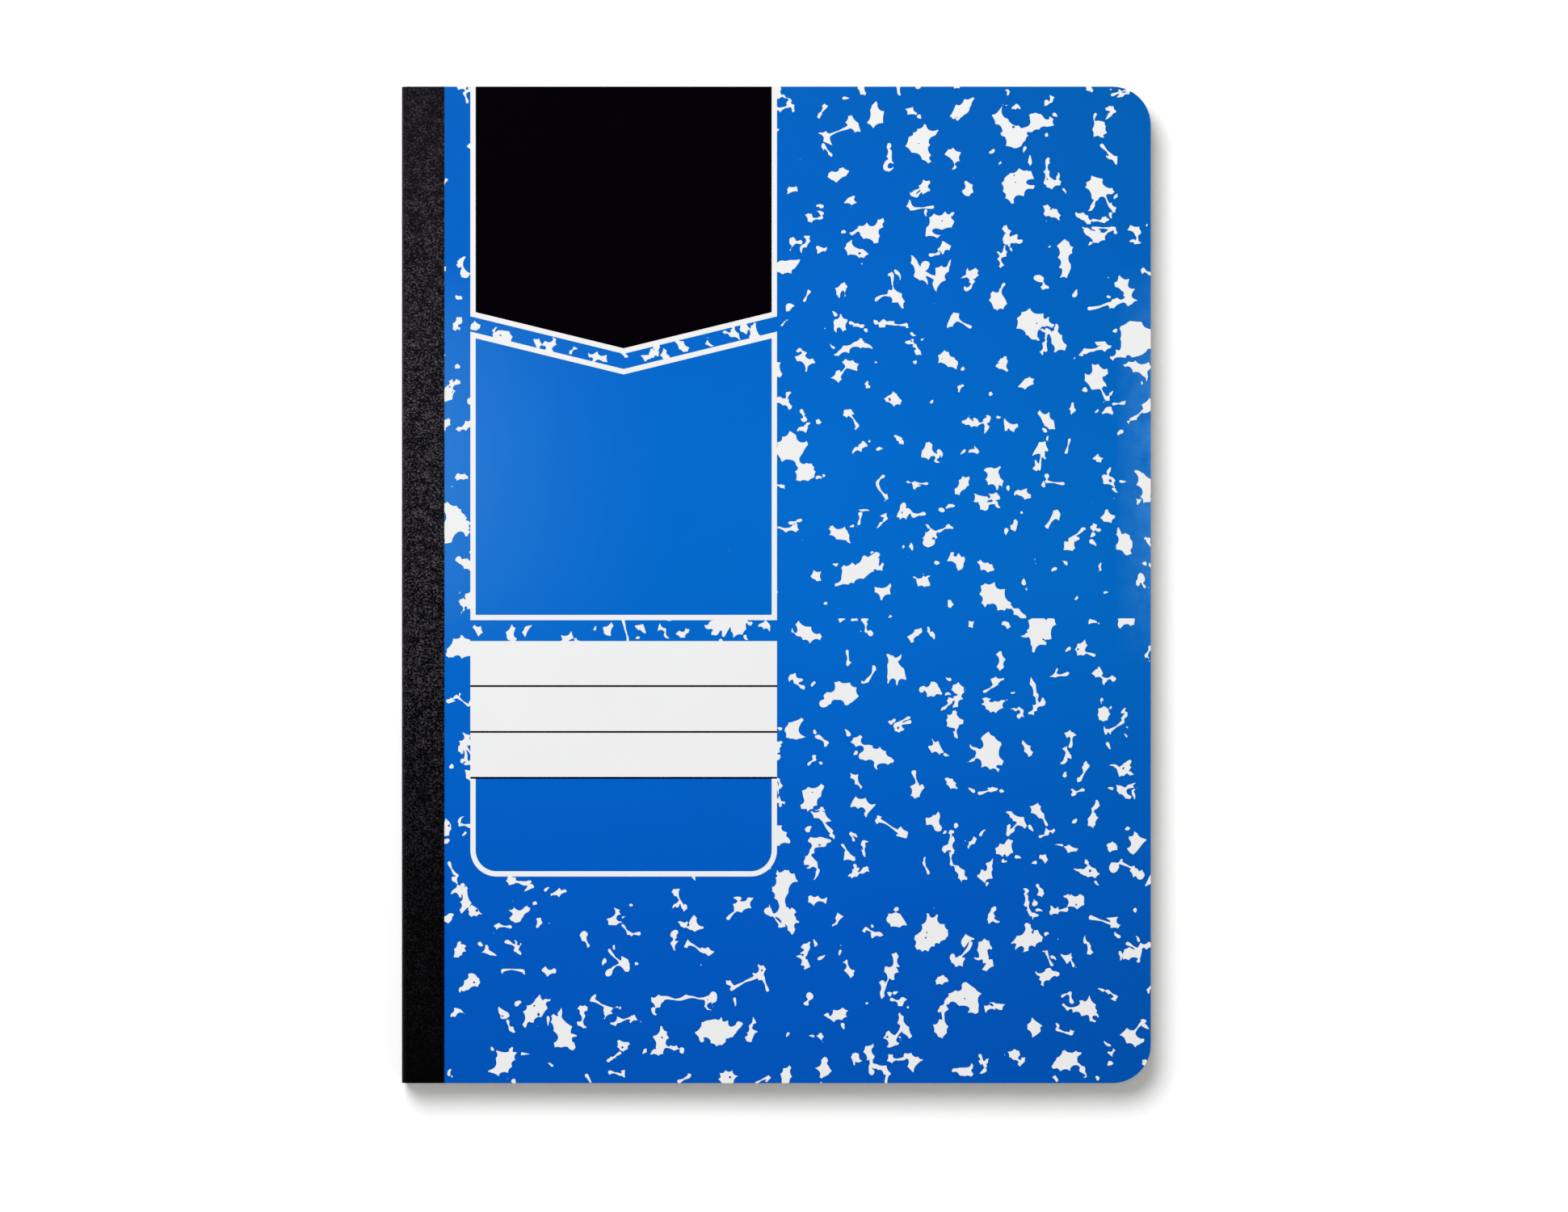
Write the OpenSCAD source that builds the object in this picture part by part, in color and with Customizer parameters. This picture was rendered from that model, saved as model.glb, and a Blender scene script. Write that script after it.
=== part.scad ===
// Sewn composition notebook with marbled board covers, lying on its back cover.
// X runs from the spine to the fore-edge, Y from the tail to the head, Z up out of the front cover.
// All lengths are in millimetres.

/* [Book] */
// Height of the book from tail to head
book_h = 247.65; // [215:0.05:300]
// Width of the book from the spine to the fore-edge
book_w = 186.3; // [150:0.1:240]
// Radius of the two corners at the fore-edge
corner_r = 9.5; // [3:0.5:15]

/* [Pages] */
// Number of ruled sheets in the sewn block
sheets = 100; // [60:2:200]
// Thickness of one sheet
sheet_t = 0.086; // [0.07:0.002:0.12]
// How far the folded spine bulges out between its two corners
spine_bulge = 0.4; // [0.2:0.05:1]

/* [Covers] */
// Thickness of the pasteboard
board_t = 0.8; // [0.5:0.05:2]
// Thickness of the printed paper on the outside of the board
cover_paper_t = 0.12; // [0.08:0.01:0.25]
// Thickness of the endpaper on the inside of the board
endpaper_t = 0.1; // [0.08:0.01:0.25]
// Outer radius of the pressed edge that each cover has beside the spine
cover_edge_r = 1; // [0.6:0.05:1.4]
// Gap that keeps an opened cover clear of the spine
hinge_clearance = 0.07; // [0.03:0.01:0.5]

/* [Spine tape] */
// Thickness of the cloth tape
tape_t = 0.2; // [0.1:0.01:0.4]
// How far the tape reaches onto each cover, from the outermost line of the spine
tape_reach = 10.7; // [6:0.1:16]

/* [Sewing] */
// Thickness of the thread
thread_d = 0.5; // [0.3:0.05:0.8]
// Length of one stitch along the spine
stitch_len = 6.5; // [3:0.5:12]
// Distance between two stitches, where the thread dives through the fold
stitch_gap = 2; // [1:0.5:6]
// Distance from the tail and the head to the first and last stitch
stitch_margin = 6; // [4:0.5:20]
// Space around the thread in its furrow
thread_clearance = 0.02; // [0.01:0.01:0.1]

/* [Label] */
// Distance from the spine to the label
label_x = 17.2; // [16.5:0.1:24]
// Width of the whole label
label_w = 76.2; // [60:0.1:90]
// Width of the white outlines
outline_w = 1.3; // [0.8:0.1:3]
// Distance from the head to the lower corners of the dark banner
banner_len = 57.1; // [30:0.1:60]
// How far the banner's point hangs below its corners
banner_drop = 9.3; // [4:0.1:14]
// Marbled gap between the banner and the title panel
title_gap = 3.8; // [1:0.1:8]
// Distance from the head to the foot of the title panel
title_foot = 132.6; // [100:0.1:140]
// Marbled gap between the title panel and the writing panel
writing_gap = 5.2; // [1:0.1:8]
// Number of lines to write on
writing_lines = 3; // [1:1:4]
// Distance between the lines to write on
line_pitch = 11.4; // [8:0.1:13]
// Thickness of a printed line
line_w = 0.45; // [0.3:0.05:1]
// Height of the panel below the writing lines
foot_len = 24.3; // [16:0.1:30]
// Radius of the foot panel's lower corners
foot_r = 6.5; // [3:0.5:12]

/* [Marbling] */
// Height of one layer of print
ink_t = 0.03; // [0.02:0.01:0.05]
// Spacing of the larger white flecks
fleck_pitch = 14; // [10:0.5:25]
// Reach of the smallest of these flecks from its middle
fleck_r_min = 2.4; // [1.5:0.1:4]
// Reach of the largest of these flecks from its middle
fleck_r_max = 6.4; // [4.5:0.1:8]
// Number of cusps on a fleck
fleck_cusps = 4; // [3:1:6]
// Number that the front cover's pattern grows from
front_seed = 11; // [1:1:500]
// Number that the back cover's pattern grows from
back_seed = 57; // [1:1:500]

/* [Hidden] */
arc_fn = 96;
thread_fn = 6;

// Heights, from the surface that the book lies on
cover_t = tape_t + cover_paper_t + board_t + endpaper_t;
block_t = sheets * sheet_t;
block_bottom = cover_t;
block_top = block_bottom + block_t;
book_t = block_top + cover_t;
middle = book_t / 2;

// The spine is an arc, and its two corners are the hinge lines of the covers
spine_r = (block_t * block_t / 4 + spine_bulge * spine_bulge) / (2 * spine_bulge);
spine_arc_x = tape_t + spine_r;
hinge_x = tape_t + spine_bulge;

// Line of the taped spine, at a distance below the corner of the block
function taped_spine_x(below) =
    spine_arc_x - sqrt(pow(spine_r + tape_t, 2) - pow(block_t / 2 - below, 2));

// An opened cover lies beside the spine, so its edge is set back by what the spine bulges there
cover_x = 2 * hinge_x - taped_spine_x(min(cover_t, block_t / 2)) + hinge_clearance;

// Label lines, measured down from the head
chevron_slope = banner_drop / (label_w / 2);
outline_rise = outline_w * sqrt(1 + pow(chevron_slope, 2));
title_head = banner_len + title_gap;
writing_head = title_foot + writing_gap;
writing_foot = writing_head + writing_lines * line_pitch;

// Shape of a fleck: the low and high end of each share that chance picks from
cusp_span = [0.6, 1.1];
notch_span = [0.28, 0.78];
fleck_stretch = [0.85, 1.4];
fleck_bend = [-0.45, 0.45];
corner_wander = 0.8;

// Counts that follow from the sizes
stitch_count = floor((book_h - 2 * stitch_margin + stitch_gap) / (stitch_len + stitch_gap));
stitch_run = stitch_count * (stitch_len + stitch_gap) - stitch_gap;
fleck_columns = ceil(book_w / fleck_pitch);
fleck_rows = ceil(book_h / fleck_pitch);

// Colours
print_blue = [0.01, 0.39, 0.77];
print_white = [0.93, 0.94, 0.95];
print_black = [0.03, 0.02, 0.04];
tape_black = [0.13, 0.12, 0.14];
paper_white = [0.95, 0.94, 0.91];
board_grey = [0.62, 0.6, 0.56];

// Moves a shape drawn from the tail of the spine to the middle of the book
module from_spine() {
    translate([-book_w / 2, -book_h / 2, 0]) children();
}

// Turns a front cover piece over to make the matching back cover piece
module back_side() {
    translate([0, 0, book_t]) mirror([0, 0, 1]) children();
}

// Plan of the trimmed book: square at the spine, round at the fore-edge
module trimmed_plan() {
    union() {
        square([book_w - corner_r, book_h]);
        translate([0, corner_r]) square([book_w, book_h - 2 * corner_r]);
        for (y = [corner_r, book_h - corner_r])
            translate([book_w - corner_r, y]) circle(r = corner_r, $fn = arc_fn);
    }
}

// Runs a section through X and Z along the book, and trims it with the pages
module bound_piece() {
    from_spine() intersection() {
        translate([0, book_h, 0]) rotate([90, 0, 0]) linear_extrude(book_h) children();
        linear_extrude(book_t) trimmed_plan();
    }
}

// Section of the front cover with its outer face cut back by a depth, down to a floor height
module cover_section(depth, floor_z) {
    top_z = book_t - depth;
    edge_x = cover_x + depth;
    edge_r = cover_edge_r - depth;
    intersection() {
        translate([edge_x, floor_z]) square([book_w, top_z - floor_z]);
        union() {
            translate([edge_x + edge_r, top_z - edge_r]) circle(r = edge_r, $fn = arc_fn);
            translate([edge_x + edge_r, 0]) square([book_w, book_t]);
            square([book_w, top_z - edge_r]);
        }
    }
}

// Section between the block's two faces and inside the spine arc, grown by a distance
module spine_section(grow) {
    intersection() {
        translate([spine_arc_x, middle]) circle(r = spine_r + grow, $fn = arc_fn);
        translate([0, block_bottom]) square([hinge_x, block_t]);
    }
}

module page_section() {
    spine_section(0);
    translate([hinge_x, block_bottom]) square([book_w, block_t]);
}

// Furrow that the stitches press into the folded sheets
module thread_furrow() {
    furrow_w = thread_d + 2 * thread_clearance;
    from_spine() translate([0, stitch_margin - stitch_gap, middle - furrow_w / 2])
        cube([tape_t + furrow_w, book_h - 2 * (stitch_margin - stitch_gap), furrow_w]);
}

module page_block() {
    color(paper_white) difference() {
        bound_piece() page_section();
        thread_furrow();
    }
}

// One stitch, a short run of thread that lies in the furrow under the tape
module stitch() {
    rotate([-90, 0, 0]) cylinder(d = thread_d, h = stitch_len, $fn = thread_fn);
}

module sewing_thread() {
    thread_x = tape_t + thread_clearance + thread_d / 2;
    color(print_white) from_spine()
        for (i = [0 : stitch_count - 1])
            translate([thread_x, (book_h - stitch_run) / 2 + i * (stitch_len + stitch_gap), middle])
                stitch();
}

module spine_tape() {
    color(tape_black) bound_piece() difference() {
        spine_section(tape_t);
        translate([spine_arc_x, middle]) circle(r = spine_r, $fn = arc_fn);
    }
}

module front_board() {
    color(board_grey) bound_piece()
        cover_section(tape_t + cover_paper_t, block_top + endpaper_t);
}

module front_cover_paper() {
    color(print_blue) bound_piece() difference() {
        cover_section(tape_t, block_top + endpaper_t);
        cover_section(tape_t + cover_paper_t, block_top);
    }
}

module front_endpaper() {
    color(paper_white) bound_piece()
        translate([cover_x + tape_t, block_top]) square([book_w, endpaper_t]);
}

// The strip of tape that is stuck over the cover and round its edge beside the spine
module front_tape_flap() {
    color(tape_black) bound_piece() difference() {
        intersection() {
            cover_section(0, block_top);
            square([tape_reach, book_t]);
        }
        cover_section(tape_t, block_top);
    }
}

module back_board() {
    back_side() front_board();
}

module back_cover_paper() {
    back_side() front_cover_paper();
}

module back_endpaper() {
    back_side() front_endpaper();
}

module back_tape_flap() {
    back_side() front_tape_flap();
}

// Lays a flat drawing on the front cover's paper, at a number of layers of print above it
module printed(layer = 0) {
    translate([0, 0, book_t - tape_t + layer * ink_t])
        from_spine() linear_extrude(ink_t) children();
}

// Draws with Y measured down from the head
module from_head() {
    translate([0, book_h]) mirror([0, 1]) children();
}

// Field with a straight or pointed edge at its head and at its foot, cut back all round by an inset
module label_field(head, head_drop, foot, foot_drop, inset = 0) {
    centre = label_x + label_w / 2;
    half = label_w / 2 - inset;
    share = half / (label_w / 2);
    head_y = head + (head_drop > 0 ? outline_rise * inset / outline_w : inset);
    foot_y = foot - (foot_drop > 0 ? outline_rise * inset / outline_w : inset);
    from_head() polygon([
        [centre - half, head_y + head_drop * (1 - share)],
        [centre, head_y + head_drop],
        [centre + half, head_y + head_drop * (1 - share)],
        [centre + half, foot_y + foot_drop * (1 - share)],
        [centre, foot_y + foot_drop],
        [centre - half, foot_y + foot_drop * (1 - share)]
    ]);
}

// The banner bleeds off the head, so its field starts above the trimmed edge
module banner_field(inset = 0) {
    intersection() {
        label_field(-outline_w, 0, banner_len, banner_drop, inset);
        square([book_w, book_h]);
    }
}

module title_field(inset = 0) {
    label_field(title_head, banner_drop, title_foot, 0, inset);
}

module writing_field() {
    from_head() translate([label_x, writing_head]) square([label_w, writing_foot - writing_head]);
}

// The foot panel hangs from the writing panel and has round lower corners
module foot_field(inset = 0) {
    round_r = foot_r - inset;
    width = label_w - 2 * inset;
    height = foot_len - inset;
    from_head() translate([label_x + inset, writing_foot]) union() {
        square([width, height - round_r]);
        translate([round_r, 0]) square([width - 2 * round_r, height]);
        for (x = [round_r, width - round_r])
            translate([x, height - round_r]) circle(r = round_r, $fn = arc_fn);
    }
}

module label_frames() {
    color(print_white) printed() {
        difference() {
            banner_field();
            banner_field(outline_w);
        }
        difference() {
            title_field();
            title_field(outline_w);
        }
        difference() {
            foot_field();
            foot_field(outline_w);
        }
    }
}

module label_banner() {
    color(print_black) printed() banner_field(outline_w);
}

module writing_panel() {
    color(print_white) printed() writing_field();
}

module writing_lines_print() {
    color(print_black) printed(1) from_head()
        for (i = [1 : writing_lines])
            translate([label_x, writing_head + i * line_pitch - line_w]) square([label_w, line_w]);
}

function between(ends, share) = ends[0] + (ends[1] - ends[0]) * share;

// One torn white fleck: uneven cusps and notches round a middle, then stretched, bent and turned
module fleck(seed, reach) {
    corners = 2 * fleck_cusps;
    luck = rands(0, 1, 2 * corners + 3, seed);
    stretch = between(fleck_stretch, luck[2 * corners]);
    bend = between(fleck_bend, luck[2 * corners + 2]) / reach;
    rotate(360 * luck[2 * corners + 1]) polygon([
        for (k = [0 : corners - 1])
            let (turn = 360 * (k + corner_wander * luck[k]) / corners)
            let (span = between(k % 2 == 0 ? cusp_span : notch_span, luck[corners + k]))
            let (x = reach * span * stretch * cos(turn))
            let (y = reach * span / stretch * sin(turn))
            [x, y + bend * x * x]
    ]);
}

// One fleck in each square of a grid, moved about inside its square
module flecks(seed) {
    for (column = [0 : fleck_columns - 1])
        for (row = [0 : fleck_rows - 1]) {
            own_seed = seed + column * fleck_rows + row;
            luck = rands(0, 1, 3, own_seed);
            reach = fleck_r_min + (fleck_r_max - fleck_r_min) * pow(luck[2], 2);
            translate([column + luck[0], row + luck[1]] * fleck_pitch)
                fleck(own_seed, reach);
        }
}

// The part of a cover's paper that the tape leaves open
module open_paper() {
    difference() {
        trimmed_plan();
        square([tape_reach, book_h]);
    }
}

module front_marbling() {
    color(print_white) printed() intersection() {
        flecks(front_seed);
        difference() {
            open_paper();
            banner_field();
            title_field();
            writing_field();
            foot_field();
        }
    }
}

module back_marbling() {
    color(print_white) back_side() printed() intersection() {
        flecks(back_seed);
        open_paper();
    }
}

page_block();
sewing_thread();
spine_tape();
front_board();
front_cover_paper();
front_endpaper();
front_tape_flap();
front_marbling();
label_frames();
label_banner();
writing_panel();
writing_lines_print();
back_board();
back_cover_paper();
back_endpaper();
back_tape_flap();
back_marbling();
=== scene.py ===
import math
import random

import bmesh
import bpy
import numpy as np
from mathutils import Matrix, Vector


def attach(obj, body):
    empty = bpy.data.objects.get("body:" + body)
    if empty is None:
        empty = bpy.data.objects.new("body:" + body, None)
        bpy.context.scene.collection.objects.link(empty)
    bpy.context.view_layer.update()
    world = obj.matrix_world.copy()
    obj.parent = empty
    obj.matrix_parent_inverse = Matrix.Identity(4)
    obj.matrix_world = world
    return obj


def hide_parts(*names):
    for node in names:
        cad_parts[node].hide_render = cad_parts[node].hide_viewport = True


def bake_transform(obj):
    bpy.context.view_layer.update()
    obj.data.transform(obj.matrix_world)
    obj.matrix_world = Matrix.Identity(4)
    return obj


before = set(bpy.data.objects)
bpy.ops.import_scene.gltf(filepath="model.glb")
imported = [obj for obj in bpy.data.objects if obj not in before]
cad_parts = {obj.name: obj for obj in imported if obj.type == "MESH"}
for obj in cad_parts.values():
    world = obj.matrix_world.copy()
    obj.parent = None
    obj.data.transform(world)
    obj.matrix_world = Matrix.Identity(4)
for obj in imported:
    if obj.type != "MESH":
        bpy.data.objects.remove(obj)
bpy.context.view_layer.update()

# Sizes of the book in millimetres, drawn from the outermost line of the spine and from the tail
book = {
    "width": 186.3,
    "height": 247.65,
    "cornerRadius": 9.5,
    "thickness": 11.04,
    "blockTop": 9.82,
    "spineRadius": 23.3125,  # of the folded spine, inside the tape
    "tapeReach": 10.7,
    "tapeThickness": 0.2,
}
middleZ = book["thickness"] / 2
mm = 0.001
toFrame = Matrix.Scale(mm, 4) @ Matrix.Translation((-book["width"] / 2, -book["height"] / 2, 0))


def spineX(z, radius):
    # line of the bulged spine at a height, for the pages or for the outside of the tape
    centreX = book["tapeThickness"] + book["spineRadius"]
    return centreX - math.sqrt(radius ** 2 - (z - middleZ) ** 2)


def makePiece(name, bm, material, backSide=False, placing=toFrame):
    # writes a drawing in millimetres into a mesh that stands in the frame
    if backSide:  # a drawing for the front of the book becomes the matching one for its back
        bmesh.ops.scale(bm, vec=(1, 1, -1), verts=bm.verts)
        bmesh.ops.translate(bm, vec=(0, 0, book["thickness"]), verts=bm.verts)
        bmesh.ops.reverse_faces(bm, faces=bm.faces)
    bmesh.ops.recalc_face_normals(bm, faces=bm.faces)
    mesh = bpy.data.meshes.new(name)
    bm.to_mesh(mesh)
    bm.free()
    mesh.transform(placing)
    mesh.materials.append(material)
    piece = bpy.data.objects.new(name, mesh)
    bpy.context.scene.collection.objects.link(piece)
    return piece


def onlyVerts(geom):
    return [item for item in geom if isinstance(item, bmesh.types.BMVert)]


def sectionLine(bm, places, y):
    # a line through points that are given as X and Z
    verts = [bm.verts.new((x, y, z)) for x, z in places]
    return verts, [bm.edges.new(pair) for pair in zip(verts, verts[1:])]


def drawOut(bm, edges):
    # pulls a line out into a sheet, whose far points still have to be moved
    drawn = bmesh.ops.extrude_edge_only(bm, edges=edges)["geom"]
    return onlyVerts(drawn), [item for item in drawn if isinstance(item, bmesh.types.BMFace)]


# Camera straight above the book, as in the photograph
cameraSettings = {
    "lookAt": (0.00200, -0.00526),
    "height": 3.0,  # above the front cover
    "frameWidth": 0.3897,  # what the picture spans at the front cover
    "sensor": 36.0,
}
cameraData = bpy.data.cameras.new("camera")
cameraData.sensor_width = cameraSettings["sensor"]
cameraData.lens = cameraSettings["sensor"] * cameraSettings["height"] / cameraSettings["frameWidth"]
cameraData.clip_start = 0.01
cameraData.clip_end = 20
camera = bpy.data.objects.new("camera", cameraData)
camera.location = (*cameraSettings["lookAt"], book["thickness"] * mm + cameraSettings["height"])
bpy.context.scene.collection.objects.link(camera)
bpy.context.scene.camera = camera
bpy.context.scene.view_settings.view_transform = "Standard"

# Light: a soft box above the head and the spine, and an even pale room
lightSettings = {
    "room": 0.50,
    "ceiling": (0.12, 0.12, 0.12, 1),  # dim, so that the print's gloss shows nothing pale
    "ceilingEdge": (0.74, 0.90),
    "keyPower": 29.6,
    "keySize": 1.2,
    "keyPlace": (-0.49, 0.78, 1.62),
}
keyData = bpy.data.lights.new("keyLight", "AREA")
keyData.energy = lightSettings["keyPower"]
keyData.shape = "DISK"
keyData.size = lightSettings["keySize"]
key = bpy.data.objects.new("keyLight", keyData)
key.location = lightSettings["keyPlace"]
key.rotation_mode = "QUATERNION"
key.rotation_quaternion = (-key.location).to_track_quat("-Z", "Y")
bpy.context.scene.collection.objects.link(key)


def addNode(tree, kind, inputs=None, **settings):
    node = tree.nodes.new(kind)
    for name, value in settings.items():
        setattr(node, name, value)
    for name, value in (inputs or {}).items():
        if isinstance(value, bpy.types.NodeSocket):
            tree.links.new(value, node.inputs[name])
        else:
            node.inputs[name].default_value = value
    return node


def mixColour(tree, factor, first, second, blend="MIX"):
    mixed = {"Factor": factor, 6: first, 7: second}
    return addNode(tree, "ShaderNodeMix", mixed, data_type="RGBA", blend_type=blend).outputs[2]


def rampNode(tree, factor, low, high):
    # 0 below the low value and 1 above the high one
    mapped = {"Value": factor, "From Min": low, "From Max": high}
    return addNode(tree, "ShaderNodeMapRange", mapped).outputs["Result"]


def axisOf(tree, place, axis):
    return addNode(tree, "ShaderNodeSeparateXYZ", {"Vector": place}).outputs[axis]


def makeRoom():
    room = bpy.data.worlds.new("room")
    room.use_nodes = True
    tree = room.node_tree
    direction = addNode(tree, "ShaderNodeTexCoord").outputs["Generated"]
    overhead = rampNode(tree, axisOf(tree, direction, "Z"), *lightSettings["ceilingEdge"])
    tone = mixColour(tree, overhead, (1, 1, 1, 1), lightSettings["ceiling"])
    background = tree.nodes["Background"]
    background.inputs["Strength"].default_value = lightSettings["room"]
    tree.links.new(tone, background.inputs["Color"])
    bpy.context.scene.world = room


makeRoom()
print("camera and light ready")


# Materials

def mathNode(tree, operation, first, second=0.0, clamp=False):
    node = addNode(tree, "ShaderNodeMath", {0: first, 1: second}, operation=operation, use_clamp=clamp)
    return node.outputs[0]


def shaded(tree, colour, shade):
    # a colour made darker or lighter by a value
    grey = addNode(tree, "ShaderNodeCombineColor", {"Red": shade, "Green": shade, "Blue": shade})
    return mixColour(tree, 1.0, colour, grey.outputs["Color"], blend="MULTIPLY")


def fromMiddleHeight(tree, place):
    # height above or below the middle of the closed book
    return mathNode(tree, "ABSOLUTE", mathNode(tree, "SUBTRACT", axisOf(tree, place, "Z"), middleZ))


def slowColour(tree, share, stops):
    ramp = addNode(tree, "ShaderNodeValToRGB", {"Fac": share})
    while len(ramp.color_ramp.elements) < len(stops):
        ramp.color_ramp.elements.new(0.5)
    for element, (position, colour) in zip(ramp.color_ramp.elements, stops):
        element.position = position
        element.color = (*colour, 1)
    return ramp.outputs["Color"]


def lengthwise(tree, place, stops):
    # a colour that changes slowly from the tail to the head of the book
    y = axisOf(tree, place, "Y")
    return slowColour(tree, rampNode(tree, y, -book["height"] / 2, book["height"] / 2), stops)


def crosswise(tree, place, stops):
    # a colour that changes slowly from the middle of the book to the fore-edge
    halfWidth = book["width"] / 2
    shares = [(distance / halfWidth, colour) for distance, colour in stops]
    return slowColour(tree, rampNode(tree, axisOf(tree, place, "X"), 0, halfWidth), shares)


def noiseNode(tree, vector, scale, detail=2.0, roughness=0.5):
    return addNode(tree, "ShaderNodeTexNoise", {
        "Vector": vector, "Scale": scale, "Detail": detail, "Roughness": roughness,
    }).outputs["Fac"]


def newGroup(name, inputs, outputs):
    group = bpy.data.node_groups.new(name, "ShaderNodeTree")
    for sockets, way in ((inputs, "INPUT"), (outputs, "OUTPUT")):
        for socketName, kind in sockets:
            group.interface.new_socket(socketName, in_out=way, socket_type=kind)
    given, made = group.nodes.new("NodeGroupInput"), group.nodes.new("NodeGroupOutput")
    return group, given.outputs, made.inputs


floatKind, colourKind, vectorKind = "NodeSocketFloat", "NodeSocketColor", "NodeSocketVector"


def makeFibreGroup():
    # paper fibres: a cloudy tone and a fine tooth, from a place in millimetres
    group, given, made = newGroup(
        "paperFibre",
        [("Place", vectorKind), ("Colour", colourKind), ("Cloud Size", floatKind), ("Contrast", floatKind)],
        [("Colour", colourKind), ("Tooth", floatKind)],
    )
    cloudScale = mathNode(group, "DIVIDE", 1.0, given["Cloud Size"])
    cloud = noiseNode(group, given["Place"], cloudScale, detail=4.0)
    tooth = noiseNode(group, given["Place"], 5.0, detail=3.0, roughness=0.65)
    cloudTone, toothTone = (mathNode(group, "SUBTRACT", tone, 0.5) for tone in (cloud, tooth))
    both = mathNode(group, "ADD", cloudTone, toothTone)
    shade = mathNode(group, "ADD", mathNode(group, "MULTIPLY", both, given["Contrast"]), 1.0)
    group.links.new(shaded(group, given["Colour"], shade), made["Colour"])
    group.links.new(tooth, made["Tooth"])
    return group


def makeDustGroup():
    # small stray dots, where only some cells of a cell pattern hold one
    group, given, made = newGroup(
        "strayDots",
        [("Place", vectorKind), ("Spacing", floatKind), ("Dot Size", floatKind), ("Share", floatKind)],
        [("Mask", floatKind)],
    )
    scale = mathNode(group, "DIVIDE", 1.0, given["Spacing"])
    cells = addNode(group, "ShaderNodeTexVoronoi", {"Vector": given["Place"], "Scale": scale})
    reach = mathNode(group, "MULTIPLY", cells.outputs["Distance"], given["Spacing"])
    luck = addNode(group, "ShaderNodeSeparateColor", {"Color": cells.outputs["Color"]})
    size = mathNode(group, "MULTIPLY", given["Dot Size"], mathNode(group, "ADD", luck.outputs["Green"], 0.4))
    dot = mathNode(group, "LESS_THAN", reach, size)
    chosen = mathNode(group, "LESS_THAN", luck.outputs["Red"], given["Share"])
    group.links.new(mathNode(group, "MULTIPLY", dot, chosen), made["Mask"])
    return group


printSettings = {
    "blueWithPaintedShade": [  # painted shade: darkest at the tail, lightest a little above the middle, a little darker again at the head
        (0.02, (0.0004, 0.087, 0.472)),
        (0.17, (0.0004, 0.0965, 0.512)),
        (0.33, (0.0004, 0.1155, 0.547)),
        (0.5, (0.0004, 0.137, 0.574)),
        (0.64, (0.0004, 0.137, 0.577)),
        (0.83, (0.0004, 0.12, 0.542)),
        (0.99, (0.0004, 0.115, 0.496)),
    ],
    "paleBlue": (0.06, 0.27, 0.68, 1),
    "across": [  # painted shade makes it a little darker and duller towards the fore-edge
        (15, (1, 1, 1)), (47, (1, 0.98, 0.965)), (78, (1, 0.955, 0.9)), (90, (1, 0.955, 0.87)),
    ],
    # painted sheen and rub: where the blue is paled by a painted reflection and by handling
    "sheenAndRub": {
        "middle": 30, "halfLength": 50, "foreReach": 9, "spineReach": 70, "spineShare": 0.8, "strength": 0.62,
    },
    "white": (0.832, 0.834, 0.836, 1),
    "black": (0.0009, 0.0003, 0.0016, 1),
    "dust": (0.05, 0.05, 0.055, 1),
    "cutEdge": (0.72, 0.70, 0.66, 1),
    "inkBottom": 10.8,  # the printed face of the cover paper lies above this height
    "tooth": 0.01,
}


def makeSheenAndRubGroup():
    # painted sheen and rub: a soft paler band by the fore-edge and a fainter one by the tape, a painted
    # reflection of light on the cover with some wear from hands
    sheenAndRub = printSettings["sheenAndRub"]
    group, given, made = newGroup("paintedSheenAndRub", [("Place", vectorKind)], [("Mask", floatKind)])
    x, y = (axisOf(group, given["Place"], axis) for axis in "XY")
    halfWidth = book["width"] / 2
    along = mathNode(group, "DIVIDE", mathNode(group, "SUBTRACT", y, sheenAndRub["middle"]), sheenAndRub["halfLength"])
    bell = mathNode(group, "SUBTRACT", 1.0, mathNode(group, "MULTIPLY", along, along), clamp=True)
    fore = rampNode(group, x, halfWidth - sheenAndRub["foreReach"], halfWidth)
    spine = rampNode(group, x, sheenAndRub["spineReach"] - halfWidth, -halfWidth)
    patches = rampNode(group, noiseNode(group, given["Place"], 0.3, detail=5.0, roughness=0.6), 0.2, 0.7)
    fainter = mathNode(group, "MULTIPLY", mathNode(group, "MULTIPLY", spine, spine), sheenAndRub["spineShare"])
    both = mathNode(group, "ADD", mathNode(group, "MULTIPLY", fore, patches), fainter)
    group.links.new(mathNode(group, "MULTIPLY", both, bell), made["Mask"])
    return group


fibreGroup = makeFibreGroup()
dustGroup = makeDustGroup()
sheenAndRubGroup = makeSheenAndRubGroup()


def addGroup(tree, group, inputs):
    return addNode(tree, "ShaderNodeGroup", inputs, node_tree=group).outputs


def fibreOn(tree, place, colour, cloudSize, contrast):
    # a colour on paper: its cloudy tone, and its tooth for the bump
    toned = addGroup(tree, fibreGroup, {
        "Place": place, "Colour": colour, "Cloud Size": cloudSize, "Contrast": contrast,
    })
    return toned["Colour"], toned["Tooth"]


def dotsOn(tree, place, spacing, size, share, strength):
    dots = addGroup(tree, dustGroup, {"Place": place, "Spacing": spacing, "Dot Size": size, "Share": share})
    return mathNode(tree, "MULTIPLY", dots["Mask"], strength)


def newMaterial(name, roughness, specular):
    material = bpy.data.materials.new(name)
    material.use_nodes = True
    tree = material.node_tree
    shader = tree.nodes["Principled BSDF"]
    shader.inputs["Roughness"].default_value = roughness
    shader.inputs["Specular IOR Level"].default_value = specular
    metres = addNode(tree, "ShaderNodeTexCoord").outputs["Object"]
    place = addNode(tree, "ShaderNodeVectorMath", {0: metres, "Scale": 1 / mm}, operation="SCALE")
    return material, tree, shader, place.outputs["Vector"]


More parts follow.
